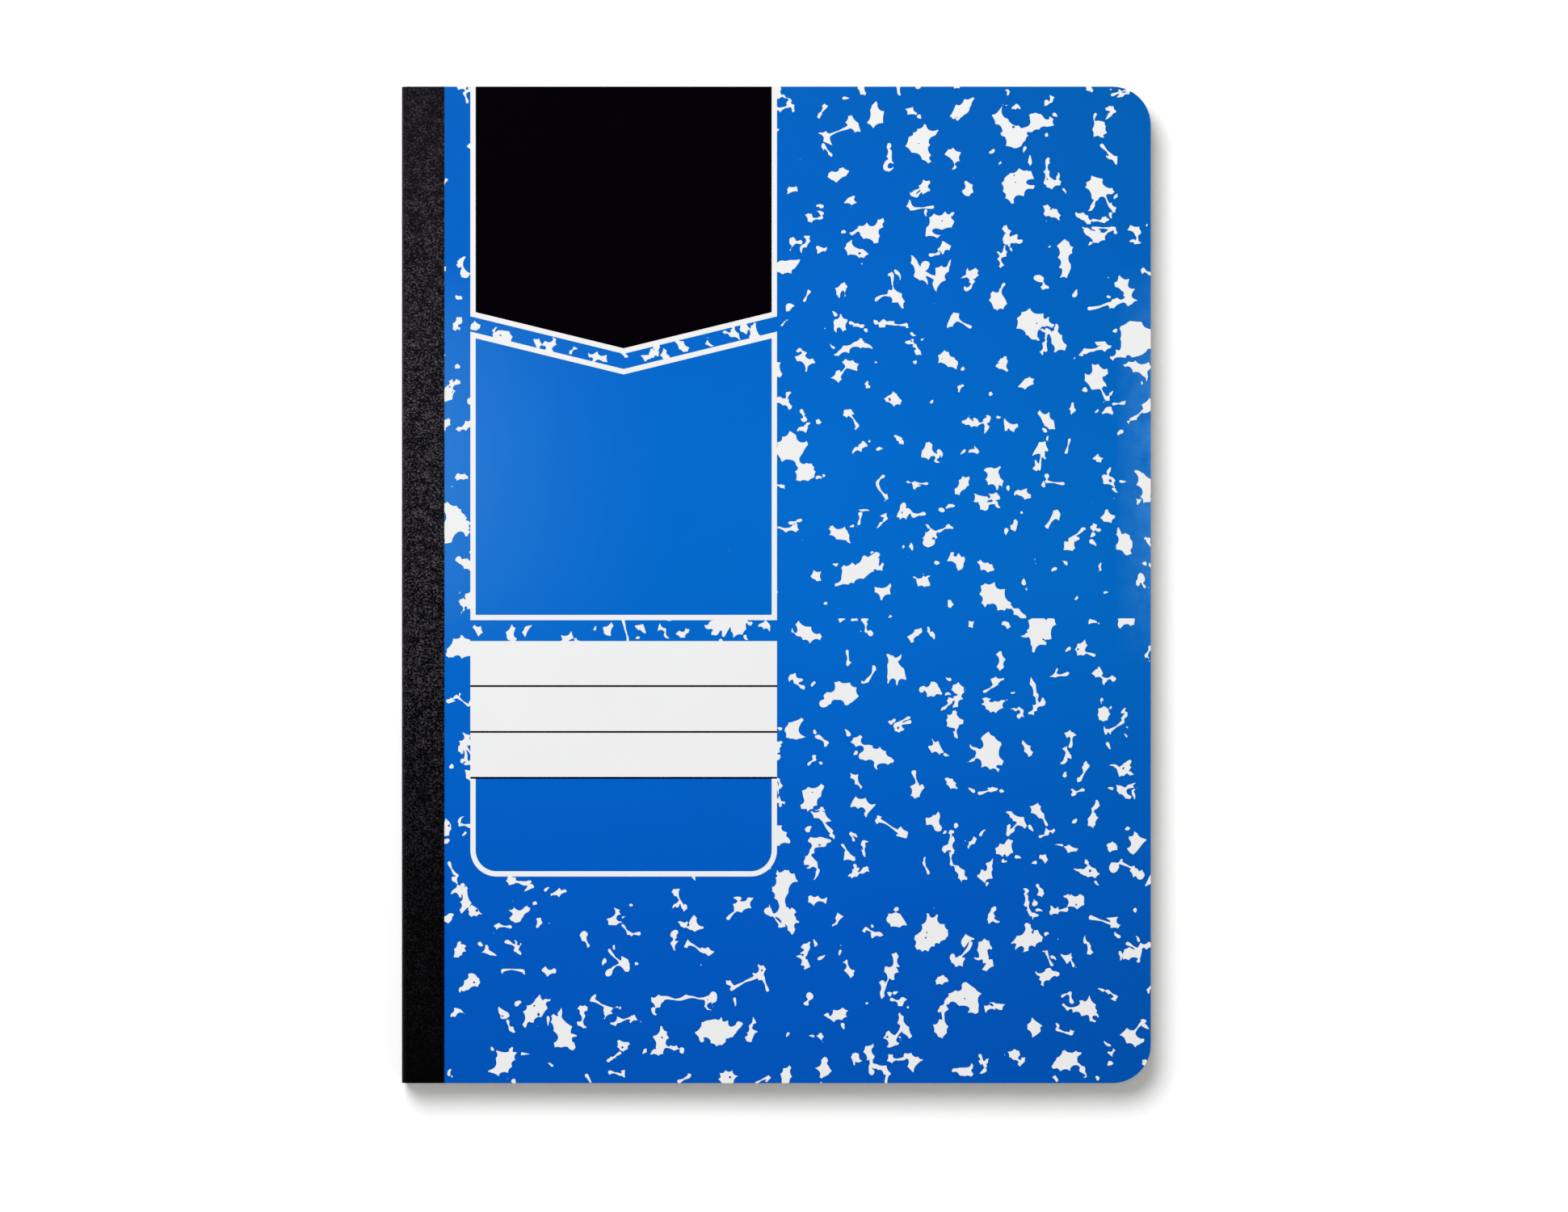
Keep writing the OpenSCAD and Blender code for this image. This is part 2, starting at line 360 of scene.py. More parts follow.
def dress(tree, shader, colour, height, depth):
    # the colour, and a bump of some depth in millimetres
    bump = addNode(tree, "ShaderNodeBump", {"Height": height, "Distance": depth * mm})
    tree.links.new(bump.outputs["Normal"], shader.inputs["Normal"])
    tree.links.new(colour, shader.inputs["Base Color"])


def makeBluePrint():
    # blue ink on coated paper, whose cut edge shows the bare paper; its face carries painted shade and a
    # painted sheen with some rub
    material, tree, shader, place = newMaterial("bluePrint", 0.24, 0.03)
    # painted shade along the cover: the blue darkens towards the tail
    paintedShadeLengthwise = lengthwise(tree, place, printSettings["blueWithPaintedShade"])
    # painted shade across the cover: darker towards the fore-edge
    paintedShadeCrosswise = crosswise(tree, place, printSettings["across"])
    blueWithPaintedShade = mixColour(tree, 1.0, paintedShadeLengthwise, paintedShadeCrosswise, blend="MULTIPLY")
    toned, tooth = fibreOn(tree, place, blueWithPaintedShade, cloudSize=24.0, contrast=0.07)
    dots = dotsOn(tree, place, spacing=6.0, size=0.16, share=0.3, strength=0.55)
    dotted = mixColour(tree, dots, toned, printSettings["paleBlue"])
    # painted sheen, partly rub: paler blue by the fore-edge and by the tape
    sheenAndRubMask = addGroup(tree, sheenAndRubGroup, {"Place": place})["Mask"]
    sheenAndRub = mathNode(tree, "MULTIPLY", sheenAndRubMask, printSettings["sheenAndRub"]["strength"])
    sheenAndRubbed = mixColour(tree, sheenAndRub, dotted, printSettings["paleBlue"])
    inkHeight = printSettings["inkBottom"] - middleZ
    printed = mathNode(tree, "GREATER_THAN", fromMiddleHeight(tree, place), inkHeight)
    inked = mixColour(tree, printed, printSettings["cutEdge"], sheenAndRubbed)
    dress(tree, shader, inked, tooth, printSettings["tooth"])
    return material


def makeBlackPrint():
    # black ink, with a little pale dust on it
    material, tree, shader, place = newMaterial("blackPrint", 0.24, 0.008)
    toned, tooth = fibreOn(tree, place, printSettings["black"], cloudSize=12.0, contrast=0.5)
    dust = dotsOn(tree, place, spacing=5.0, size=0.14, share=0.28, strength=0.6)
    dusty = mixColour(tree, dust, toned, printSettings["dust"])
    dress(tree, shader, dusty, tooth, printSettings["tooth"])
    return material


tapeSettings = {
    # painted shade: the cloth darkens towards the tail
    "dark": [
        (0.0, (0.0001, 0.0001, 0.0001)),
        (0.35, (0.0004, 0.0003, 0.0005)),
        (0.7, (0.003, 0.0026, 0.0036)),
        (1.0, (0.005, 0.0044, 0.0058)),
    ],
    "grainWithPaintedSheen": [  # its raised grains, with a painted sheen that is brightest a little above the middle and least near the tail
        (0.0, (0.002, 0.0015, 0.002)),
        (0.2, (0.016, 0.014, 0.018)),
        (0.42, (0.075, 0.068, 0.083)),
        (0.7, (0.098, 0.09, 0.11)),
        (1.0, (0.042, 0.038, 0.048)),
    ],
    "grainAngle": 0.6,
    "grain": (2.3, 3.0, 2.3),  # grains per millimetre
    "lifted": (0.6, 0.78),  # where a grain turns from dark to light
    "grainDepth": 0.08,
}


def makeTapeCloth():
    # coated book cloth: short oblique pale grains on near black
    material, tree, shader, place = newMaterial("tapeCloth", 0.5, 0.015)
    turned = addNode(tree, "ShaderNodeMapping", {
        "Vector": place, "Rotation": (0, 0, tapeSettings["grainAngle"]), "Scale": tapeSettings["grain"],
    }).outputs["Vector"]
    grain = noiseNode(tree, turned, 1.0, detail=2.0, roughness=0.7)
    wide = noiseNode(tree, place, 0.5, detail=2.0)
    uneven = mathNode(tree, "ADD", grain, mathNode(tree, "MULTIPLY", wide, 0.2))
    # painted shade and painted sheen along the tape, from the tail to the head
    darkWithPaintedShade, grainSheenTone = (lengthwise(tree, place, tapeSettings[tone]) for tone in ("dark", "grainWithPaintedSheen"))
    toned = mixColour(tree, rampNode(tree, uneven, *tapeSettings["lifted"]), darkWithPaintedShade, grainSheenTone)
    rough = mathNode(tree, "ADD", mathNode(tree, "MULTIPLY", grain, -0.2), 0.62)
    tree.links.new(rough, shader.inputs["Roughness"])
    dress(tree, shader, toned, grain, tapeSettings["grainDepth"])
    return material


paperSettings = {
    "page": (0.84, 0.83, 0.79, 1),
    "endpaper": (0.80, 0.79, 0.75, 1),
    "board": (0.34, 0.31, 0.27, 1),
    "ruling": (0.22, 0.42, 0.72, 1),
    "margin": (0.75, 0.18, 0.22, 1),
    "thread": (0.78, 0.77, 0.74, 1),
    "leafLines": (0.012, 0.012, 2.6),  # how close they lie along each axis
    "boardLayers": (0.6, 0.6, 9.0),
    "plies": (0.4, 0.39, 0.36, 1),
    "tooth": 0.02,
    "ridges": 0.06,  # of the board's layers and the thread's plies
}


def makePaper(name, colour, contrast, cloudSize, roughness=0.85, specular=0.25, depth=paperSettings["tooth"]):
    material, tree, shader, place = newMaterial(name, roughness, specular)
    toned, tooth = fibreOn(tree, place, colour, cloudSize, contrast)
    dress(tree, shader, toned, tooth, depth)
    return material


def stretched(tree, place, scale):
    return addNode(tree, "ShaderNodeMapping", {"Vector": place, "Scale": scale}).outputs["Vector"]


def makePagePaper():
    # between the first and the last leaf, the cut edges show as fine uneven lines
    material, tree, shader, place = newMaterial("pagePaper", 0.85, 0.25)
    toned, tooth = fibreOn(tree, place, paperSettings["page"], cloudSize=8.0, contrast=0.05)
    layered = stretched(tree, place, paperSettings["leafLines"])
    leaves = rampNode(tree, noiseNode(tree, layered, 1.0, detail=4.0, roughness=0.75), 0.42, 0.68)
    innerHeight = book["blockTop"] - middleZ - 0.06
    inner = mathNode(tree, "LESS_THAN", fromMiddleHeight(tree, place), innerHeight)
    dark = mathNode(tree, "MULTIPLY", mathNode(tree, "MULTIPLY", leaves, inner), 0.26)
    lined = shaded(tree, toned, mathNode(tree, "SUBTRACT", 1.0, dark))
    dress(tree, shader, lined, tooth, paperSettings["tooth"])
    return material


def makeBoard():
    # pressed pasteboard: layers show as streaks along its cut edges
    material, tree, shader, place = newMaterial("pasteboard", 0.9, 0.2)
    layered = stretched(tree, place, paperSettings["boardLayers"])
    layers = noiseNode(tree, layered, 1.0, detail=4.0, roughness=0.6)
    toned = fibreOn(tree, place, paperSettings["board"], cloudSize=3.0, contrast=0.3)[0]
    shade = mathNode(tree, "ADD", mathNode(tree, "MULTIPLY", layers, 0.7), 0.65)
    dress(tree, shader, shaded(tree, toned, shade), layers, paperSettings["ridges"])
    return material


def makeThread():
    # two-ply cotton: the plies run round it at a slant
    material, tree, shader, place = newMaterial("cottonThread", 0.8, 0.2)
    plies = addNode(tree, "ShaderNodeTexWave", {
        "Vector": place, "Scale": 0.9, "Distortion": 0.6,
    }, bands_direction="DIAGONAL").outputs["Fac"]
    toned = fibreOn(tree, place, paperSettings["thread"], cloudSize=1.0, contrast=0.2)[0]
    plied = mixColour(tree, mathNode(tree, "MULTIPLY", plies, 0.35), toned, paperSettings["plies"])
    dress(tree, shader, plied, plies, paperSettings["ridges"])
    return material


bluePrint = makeBluePrint()
whitePrint = makePaper(
    "whitePrint", printSettings["white"], 0.035, 15.0, 0.28, 0.08, depth=printSettings["tooth"],
)
blackPrint = makeBlackPrint()
tapeCloth = makeTapeCloth()
pagePaper = makePagePaper()
endPaper = makePaper("endPaper", paperSettings["endpaper"], 0.07, 12.0)
rulingInk = makePaper("rulingInk", paperSettings["ruling"], 0.25, 2.0)
marginInk = makePaper("marginInk", paperSettings["margin"], 0.25, 2.0)
pasteboard = makeBoard()
cottonThread = makeThread()

nodeMaterials = (
    (pagePaper, "page_block"),
    (cottonThread, "sewing_thread"),
    (tapeCloth, "spine_tape", "front_tape_flap", "back_tape_flap"),
    (pasteboard, "front_board", "back_board"),
    (bluePrint, "front_cover_paper", "back_cover_paper"),
    (endPaper, "front_endpaper", "back_endpaper"),
    (whitePrint, "front_marbling", "back_marbling", "label_frames", "writing_panel"),
    (blackPrint, "label_banner", "writing_lines_print"),
)
for material, *nodeNames in nodeMaterials:
    for nodeName in nodeNames:
        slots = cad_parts[nodeName].data.materials
        slots.clear()
        slots.append(material)
print("materials ready")


# Pages: folded sheets nested in each other, sewn through their folds
pageSettings = {
    "folds": 50,
    "paper": 0.078,
    "pitch": 0.086,
    "foldRounding": 0.3,
    "furrowDepth": 0.58,
    "furrowHalfWidth": 0.34,
    "trimWander": 0.05,  # how far a leaf may lie back from the trimmed fore-edge
    "surfaceGap": 0.014,  # room for the ruling and the gutter strips under the covers
}


def trimmedHalfHeight(x):
    # half the height of the book at a distance from the spine, round at the two fore-edge corners
    radius = book["cornerRadius"]
    past = min(max(x - (book["width"] - radius), 0), radius)
    return book["height"] / 2 - radius + math.sqrt(radius ** 2 - past ** 2)


def foldPath(fold, foreX):
    # half of one folded sheet in section, from the fore-edge to the middle of the spine
    nest = fold * pageSettings["pitch"]
    outer = pageSettings["folds"] * pageSettings["pitch"] - nest
    if fold == 0:
        outer -= pageSettings["surfaceGap"]
    rounding = min(pageSettings["foldRounding"], outer * 0.8)
    radius = book["cornerRadius"]
    points = [
        (foreX - radius + radius * math.sin(math.radians(turn)), outer)
        for turn in (90, 84, 76, 66, 54, 40, 24, 8)
    ]
    cornerX = spineX(middleZ + outer, book["spineRadius"]) + nest
    for turn in (0, 30, 60, 90):
        angle = math.radians(turn)
        x = cornerX + rounding * (1 - math.sin(angle))
        points.append((x, outer - rounding * (1 - math.cos(angle))))
    dent = max(pageSettings["furrowDepth"] - nest, 0)
    for share in (0.75, 0.5, 0.3, 0.15, 0.07, 0.0):
        height = (outer - rounding) * share
        pressed = dent * math.exp(-(height / pageSettings["furrowHalfWidth"]) ** 2)
        points.append((spineX(middleZ + height, book["spineRadius"]) + nest + pressed, height))
    return points


def makePageBlock():
    luck = random.Random(5)
    block = bmesh.new()
    for fold in range(pageSettings["folds"]):
        upper, lower = (
            foldPath(fold, book["width"] - luck.random() * pageSettings["trimWander"]) for side in range(2)
        )
        line = [(x, middleZ + z) for x, z in upper] + [(x, middleZ - z) for x, z in reversed(lower[:-1])]
        near, edges = sectionLine(block, line, 0)
        far, faces = drawOut(block, edges)
        for verts, sign in ((near, -1), (far, 1)):
            for vert in verts:
                vert.co.y = book["height"] / 2 + sign * trimmedHalfHeight(vert.co.x)
        block.normal_update()
        bmesh.ops.solidify(block, geom=faces, thickness=pageSettings["paper"])
    return makePiece("pageBlock", block, pagePaper)


pageBlock = makePageBlock()
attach(pageBlock, "book_block")
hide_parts("page_block")
print("page block ready:", len(pageBlock.data.polygons), "faces")

# Ruling that shows when a cover is opened
rulingSettings = {
    "pitch": 7.1,
    "header": 31.0,
    "foot": 9.0,
    "lineWidth": 0.25,
    "margin": 31.75,
    "lineInset": 1.6,  # from the spine, and further near the tail
    "tailInset": 4.0,
    "foreInset": 0.1,
    "marginInset": 0.05,
    "ink": 0.002,
    "lift": 0.001,
}


def addStrip(bm, lowX, lowY, width, height, lift=0.0):
    # a printed line on the first page
    thick = rulingSettings["ink"]
    baseZ = book["blockTop"] - pageSettings["surfaceGap"] + rulingSettings["lift"] + lift
    made = bmesh.ops.create_cube(bm, size=1)["verts"]
    bmesh.ops.scale(bm, vec=(width, height, thick), verts=made)
    bmesh.ops.translate(bm, vec=(lowX + width / 2, lowY + height / 2, baseZ + thick / 2), verts=made)


def makeLines(name, lastPage):
    bm = bmesh.new()
    y = book["height"] - rulingSettings["header"]
    while y > rulingSettings["foot"]:
        inset = rulingSettings["lineInset" if y > book["cornerRadius"] else "tailInset"]
        length = book["width"] - inset - rulingSettings["foreInset"]
        addStrip(bm, inset, y, length, rulingSettings["lineWidth"])
        y -= rulingSettings["pitch"]
    return makePiece(name, bm, rulingInk, lastPage)


def makeMargin(name, x, lastPage):
    # one line across the ruling and a little above it
    bm = bmesh.new()
    inset = rulingSettings["marginInset"]
    length = book["height"] - 2 * inset
    addStrip(bm, x, inset, rulingSettings["lineWidth"], length, rulingSettings["ink"] * 1.2)
    return makePiece(name, bm, marginInk, lastPage)


for printed in (
    makeLines("firstPageLines", False),
    makeMargin("firstPageMargin", rulingSettings["margin"], False),
    makeLines("lastPageLines", True),
    makeMargin("lastPageMargin", book["width"] - rulingSettings["margin"], True),
):
    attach(printed, "book_block")
print("ruling ready")

# Spine tape: one strip of cloth from cover to cover, made as a front and a back half
tapeShape = {
    "line": [  # its outside from the middle of the spine to the end on the cover, X and Z
        (0.0, 5.52), (0.05, 7.06), (0.203, 8.6), (0.31, 9.3), (0.47, 9.75), (0.68, 10.1),
        (0.95, 10.45), (1.27, 10.75), (1.65, 10.96), (2.1, 11.04), (10.7, 11.04),
    ],
    "bendStart": 0.5,
    "bendEnd": 0.85,
    "cuts": 5,
    "smoothing": 6,
}


def makeTape(name, backSide):
    bm = bmesh.new()
    edges = sectionLine(bm, tapeShape["line"], 0)[1]
    bmesh.ops.subdivide_edges(bm, edges=edges, cuts=tapeShape["cuts"])
    inner = [v for v in bm.verts if v.co.z < book["thickness"] - 1e-4 and v.co.z > middleZ + 1e-4]
    for step in range(tapeShape["smoothing"]):
        bmesh.ops.smooth_vert(bm, verts=inner, factor=0.5, use_axis_x=True, use_axis_z=True)
    far, faces = drawOut(bm, list(bm.edges))
    bmesh.ops.translate(bm, vec=(0, book["height"], 0), verts=far)
    bmesh.ops.solidify(bm, geom=faces, thickness=-book["tapeThickness"])
    return makePiece(name, bm, tapeCloth, backSide)


for side in ("front", "back"):
    tape = makeTape(side + "Tape", side == "back")
    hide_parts(side + "_tape_flap", *(["spine_tape"] if side == "front" else []))
    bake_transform(tape)
    print(tape.name, "ready:", len(tape.data.polygons), "faces")

# Marbling: white flecks left between the blue, grown out of the plain flecks of the CAD.
# Each cover's pattern is a height over a fine grid, above zero inside a fleck.
# The grid is cut where that height crosses zero, and what is left is raised by the thickness of the ink.
label = {
    "left": 17.2,
    "right": 93.4,
    "bannerFoot": 57.1,  # measured down from the head
    "drop": 9.3,
    "titleHead": 60.9,
    "titleFoot": 132.6,
    "writingHead": 137.8,
    "foot": 196.3,
    "footRadius": 6.5,
    "overlap": 0.7,  # how far flecks run under the label's white outlines
}
marbleSettings = {
    "grid": 0.25,
    "warps": ((9.0, 1.3), (3.0, 0.4), (1.1, 0.05)),  # size of a wave and how far it pushes
    "rim": 4,  # how far round a fleck its height is worked out
    "cutBleed": 1.5,  # a fleck of the CAD that is cut by an edge runs on by this before it is cut again
    "sideLength": 2.6,  # of one bitten piece of an outline
    "cornerPush": (-0.1, 0.12),  # of a new corner, as a share of its piece of the outline
    "biteChance": 0.85,
    "biteDepth": (0.16, 0.5),  # as a share of the bitten piece
    "bulgeChance": 0.4,  # where a large fleck isn't bitten
    "bulgeFrom": 2.5,  # reach of the smallest fleck that bulges
    "bulgeRadius": (0.3, 0.4),
    "bulgeSunk": 0.6,
    "bayRadius": (0.4, 1.1),
    "bayChance": (0.6, 0.35),  # of a large fleck and of a small one
    "holeChance": 0.3,  # of a small fleck
    "hornChance": (0.12, 0.1),  # at each corner of a large fleck and of a small one
    "hornLength": (0.7, 1.9),
    "hornWidth": (0.36, 0.6),
    "holeRadius": (0.16, 0.36),
    "neck": (0.18, 0.45),  # half its width at the middle and at the ends
    "grow": 1.1,  # what the bites take from a fleck of the CAD is first added to it
    "stripGrow": 0.9,  # but one larger than this area between the tape and the label shrinks
    "stripArea": 12,
    "largeHoles": ((8, 0.4), (25, 0.5)),  # above each area, the chance of a pinhole more
    "largeBays": (15, 28),  # above each area, a bay more
    "hangChance": 0.55,
    "hangBelow": 30,  # area of the fleck that another one hangs on
    "hangApart": (0.8, 2.4),
    "hangReach": (1.0, 2.1),
    "strayPitch": 9.5,
    "strayTries": 4,  # places that are tried for each, and the emptiest is taken
    "strayArea": (2.75, 0.75),  # of the logarithm of a small fleck's area: middle and spread
    "strayReach": 3.2,  # of the largest
    "fullness": 1.9,  # area of a small fleck whose reach is 1
    "strayRoom": 1.25,  # free space round a small fleck, as a share of its reach
    "crowdedOut": 0.85,  # the chance that one without room is left out
    "linkChance": (0.3, 0.25),
    "gapFlecks": (16, 12),  # extra flecks in the gap under the banner and in the one under the title
    "gapReach": (1.6, 3.0),
    "shardPitch": 16.0,
    "shardReach": (0.35, 0.75),
    "seams": (  # where the pattern was joined: height, and from where to where across
        (115.5, 94, 187), (115.5, 10, 22), (129.2, 178, 187), (42.3, 178, 187),
    ),
    "spread": -0.03,  # how far the white gains on the blue; below zero the blue gains
    "smoothing": 20,
    "ink": 0.02,
    "smallestEdge": 0.004,
    "straight": 0.01,  # a corner of an outline that turns by less is left out
}
paperTop = book["thickness"] - book["tapeThickness"]


def mergeFlat(bm):
    bmesh.ops.dissolve_limit(
        bm, angle_limit=marbleSettings["straight"], verts=bm.verts, edges=bm.edges,
        use_dissolve_boundaries=False,
    )


def cornersOfNode(nodeName, upward):
    # outlines of the printed flecks in the CAD, in millimetres
    bm = bmesh.new()
    bm.from_mesh(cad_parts[nodeName].data)
    bm.transform(toFrame.inverted())
    bmesh.ops.remove_doubles(bm, verts=bm.verts, dist=0.001)
    bm.normal_update()
    sign = 1 if upward else -1
    bmesh.ops.delete(bm, geom=[f for f in bm.faces if f.normal.z * sign < 0.5], context="FACES")
    mergeFlat(bm)
    outlines = sorted([(v.co.x, v.co.y) for v in face.verts] for face in bm.faces)
    bm.free()
    return outlines


def lineDistance(x, y, start, end):
    # distance to a straight line, and at which share of it the nearest place lies
    dx, dy = end[0] - start[0], end[1] - start[1]
    along = np.clip(((x - start[0]) * dx + (y - start[1]) * dy) / max(dx * dx + dy * dy, 1e-12), 0, 1)
    return np.hypot(x - start[0] - along * dx, y - start[1] - along * dy), along


def insideDepth(x, y, corners):
    # distance to an outline, positive inside it
    nearest = np.full(np.shape(x), 1e9)
    inside = np.zeros(np.shape(x), bool)
    for (ax, ay), (bx, by) in zip(corners, corners[1:] + corners[:1]):
        nearest = np.minimum(nearest, lineDistance(x, y, (ax, ay), (bx, by))[0])
        if by != ay:
            inside ^= ((ay > y) != (by > y)) & (x < (y - ay) * (bx - ax) / (by - ay) + ax)
    return np.where(inside, nearest, -nearest)


def openDepth(x, y, frontSide):
    # distance to the edge of the printed paper that the tape and the label leave open
    radius = book["cornerRadius"]
    pastX = np.maximum(x - (book["width"] - radius), 0)
    pastY = np.maximum(np.abs(y - book["height"] / 2) - (book["height"] / 2 - radius), 0)
    straight = np.minimum(book["width"] - x, book["height"] / 2 - np.abs(y - book["height"] / 2))
    depth = np.where((pastX > 0) & (pastY > 0), radius - np.hypot(pastX, pastY), straight)
    depth = np.minimum(depth, x - book["tapeReach"])
    if not frontSide:
        return depth
    left, right, head = label["left"], label["right"], book["height"]
    centre, drop, arc = (left + right) / 2, label["drop"], label["footRadius"]
    bannerFoot, titleHead, titleFoot, writingHead, foot = (
        head - label[name] for name in ("bannerFoot", "titleHead", "titleFoot", "writingHead", "foot")
    )
    above = head + 5
    banner = [
        (left, above), (right, above), (right, bannerFoot), (centre, bannerFoot - drop), (left, bannerFoot),
    ]
    title = [(left, titleHead), (centre, titleHead - drop), (right, titleHead)]
    title += [(right, titleFoot), (left, titleFoot)]
    footArc = [
        (arc * (1 - math.sin(turn)), arc * (1 - math.cos(turn)))
        for turn in (math.radians(step * 15) for step in range(7))
    ]
    writing = [(left, writingHead), (right, writingHead)]
    writing += [(right - dx, foot + dy) for dx, dy in reversed(footArc)]
    writing += [(left + dx, foot + dy) for dx, dy in footArc]
    for corners in (banner, title, writing):
        depth = np.minimum(depth, label["overlap"] - insideDepth(x, y, corners))
    return depth


def smoothLuck(luck, shape, wave):
    # random numbers on a coarse lattice, smoothed over the grid
    pitch = marbleSettings["grid"]
    lattice = luck.uniform(-1, 1, [int(count * pitch / wave) + 3 for count in shape])
    rows, columns = (np.arange(count) * pitch / wave for count in shape)
    row, column = rows.astype(int), columns.astype(int)
    shareY, shareX = (part ** 2 * (3 - 2 * part) for part in (rows - row, columns - column))
    shareY = shareY[:, None]
    low, high = (
        lattice[np.ix_(side, column)] * (1 - shareX) + lattice[np.ix_(side, column + 1)] * shareX
        for side in (row, row + 1)
    )
    return low * (1 - shareY) + high * shareY


def startPattern(seed, frontSide):
    pitch = marbleSettings["grid"]
    luck = np.random.RandomState(seed)
    y, x = np.mgrid[0:book["height"] + pitch:pitch, 0:book["width"] + pitch:pitch]
    pushX, pushY = (
        sum(push * smoothLuck(luck, x.shape, wave) for wave, push in marbleSettings["warps"])
        for axis in range(2)
    )
    return {
        "field": np.full(x.shape, -float(marbleSettings["rim"])),
        "open": openDepth(x, y, frontSide),
        "warpedX": x + pushX,
        "warpedY": y + pushY,
        "y": y,
        "luck": random.Random(seed),
    }


def windowAround(pattern, x, y, reach):
    # the part of the grid near a point
    pitch = marbleSettings["grid"]
    return tuple(
        slice(max(int((centre - reach) / pitch), 0), max(min(int((centre + reach) / pitch) + 2, count), 0))
        for centre, count in zip((y, x), pattern["field"].shape)
    )


def capsuleDepth(x, y, start, end, widthAt):
    distance, along = lineDistance(x, y, start, end)
    return widthAt(along) - distance


def addNeck(pattern, start, end):
    # a bridge between two flecks, narrow at its middle
    narrow, wide = marbleSettings["neck"]
    window = windowAround(pattern, *middleOf((start, end)), math.dist(start, end) / 2 + 3)
    x, y = pattern["warpedX"][window], pattern["warpedY"][window]
    if not x.size:
        return
    depth = capsuleDepth(x, y, start, end, lambda along: narrow + (wide - narrow) * np.abs(2 * along - 1))
    pattern["field"][window] = np.maximum(pattern["field"][window], depth)


def ahead(place, heading, distance):
    return (place[0] + distance * math.cos(heading), place[1] + distance * math.sin(heading))


def middleOf(corners):
    return tuple(sum(values) / len(corners) for values in zip(*corners))


def signedArea(corners):
    return 0.5 * sum(a[0] * b[1] - b[0] * a[1] for a, b in zip(corners, corners[1:] + corners[:1]))


def sidesOf(corners):
    # each side of an outline with its length and the direction that leads out of the fleck
    turn = 1 if signedArea(corners) > 0 else -1
    sides = []
    for start, end in zip(corners, corners[1:] + corners[:1]):
        length = math.dist(start, end)
        if length > 0.05:
            outward = ((end[1] - start[1]) / length * turn, (start[0] - end[0]) / length * turn)
            sides.append((start, end, length, outward))
    return sides


def besideSide(side, distance):
    # a point off the middle of a side, outwards
    start, end, _, outward = side
    return [(start[axis] + end[axis]) / 2 + outward[axis] * distance for axis in range(2)]


def discDepth(x, y, centre, radius, scaleX=1.0, scaleY=1.0):
    return radius - np.hypot((x - centre[0]) * scaleX, (y - centre[1]) * scaleY)


def tornOutline(luck, corners):
    # long sides get new corners, each pushed a little in or out
    torn = []
    for start, end, length, outward in sidesOf(corners):
        pieces = max(1, round(length / marbleSettings["sideLength"] * luck.uniform(0.7, 1.4)))
        for step in range(pieces):
            along = (step + luck.uniform(-0.25, 0.25) * (step > 0)) / pieces
            push = luck.uniform(*marbleSettings["cornerPush"]) * length / pieces * (step > 0)
            torn.append(tuple(
                start[axis] + (end[axis] - start[axis]) * along + outward[axis] * push for axis in range(2)
            ))
    return torn


def addHorn(luck, depth, x, y, corner, middle):
    # a thin tail that bends as it runs out of a corner to a point
    heading = math.atan2(corner[1] - middle[1], corner[0] - middle[0]) + luck.uniform(-0.6, 0.6)
    bend = luck.uniform(-0.7, 0.7)
    width = luck.uniform(*marbleSettings["hornWidth"])
    step = luck.uniform(*marbleSettings["hornLength"]) / 3
    at = ahead(corner, heading, -0.5)
    for part in range(3):
        tip = ahead(at, heading, step)
        base = width * (1 - part / 3.5)
        depth = np.maximum(depth, capsuleDepth(x, y, at, tip, lambda along: base - width / 3.5 * along))
        at = tip
        heading += bend
    return depth


def addFleck(pattern, corners, horns, bays=0, holes=0):
    # hollow arcs between the corners of a torn outline leave cusps; then horns, round bays and pinholes
    luck = pattern["luck"]
    middle = middleOf(corners)
    reach = max(math.dist(corner, middle) for corner in corners)
    window = windowAround(pattern, *middle, reach + marbleSettings["rim"])
    x, y = pattern["warpedX"][window], pattern["warpedY"][window]
    if not x.size:
        return
    torn = tornOutline(luck, corners)
    depth = insideDepth(x, y, torn)
    sides = sidesOf(torn)
    for side in sides:
        length = side[2]
        if luck.random() > marbleSettings["biteChance"]:
            if reach > marbleSettings["bulgeFrom"] and luck.random() < marbleSettings["bulgeChance"]:
                radius = length * luck.uniform(*marbleSettings["bulgeRadius"])
                centre = besideSide(side, -radius * marbleSettings["bulgeSunk"])
                depth = np.maximum(depth, discDepth(x, y, centre, radius))
            continue
        share = luck.uniform(*marbleSettings["biteDepth"])
        radius = length * (0.25 + share * share) / (2 * share)
        centre = besideSide(side, radius - share * length)
        depth = np.minimum(depth, -discDepth(x, y, centre, radius))
    for corner in corners:
        if luck.random() < horns:
            depth = addHorn(luck, depth, x, y, corner, middle)
    for bay in range(bays):
        side = sides[luck.randrange(len(sides))]
        radius = luck.uniform(*marbleSettings["bayRadius"])
        centre = besideSide(side, -luck.uniform(0.2, 1.0) * radius)
        stretch = luck.uniform(0.7, 1.4)
        depth = np.minimum(depth, -discDepth(x, y, centre, radius, stretch, 1 / stretch))
    for hole in range(holes):
        centre = [coordinate + luck.uniform(-0.35, 0.35) * reach for coordinate in middle]
        radius = luck.uniform(*marbleSettings["holeRadius"])
        depth = np.minimum(depth, -discDepth(x, y, centre, radius, 1.0, luck.uniform(0.7, 1.3)))
    for seam, fromX, toX in marbleSettings["seams"]:
        if fromX < middle[0] < toX:
            depth = np.minimum(depth, (pattern["y"][window] - seam) * (1 if middle[1] > seam else -1))
    pattern["field"][window] = np.maximum(pattern["field"][window], depth)


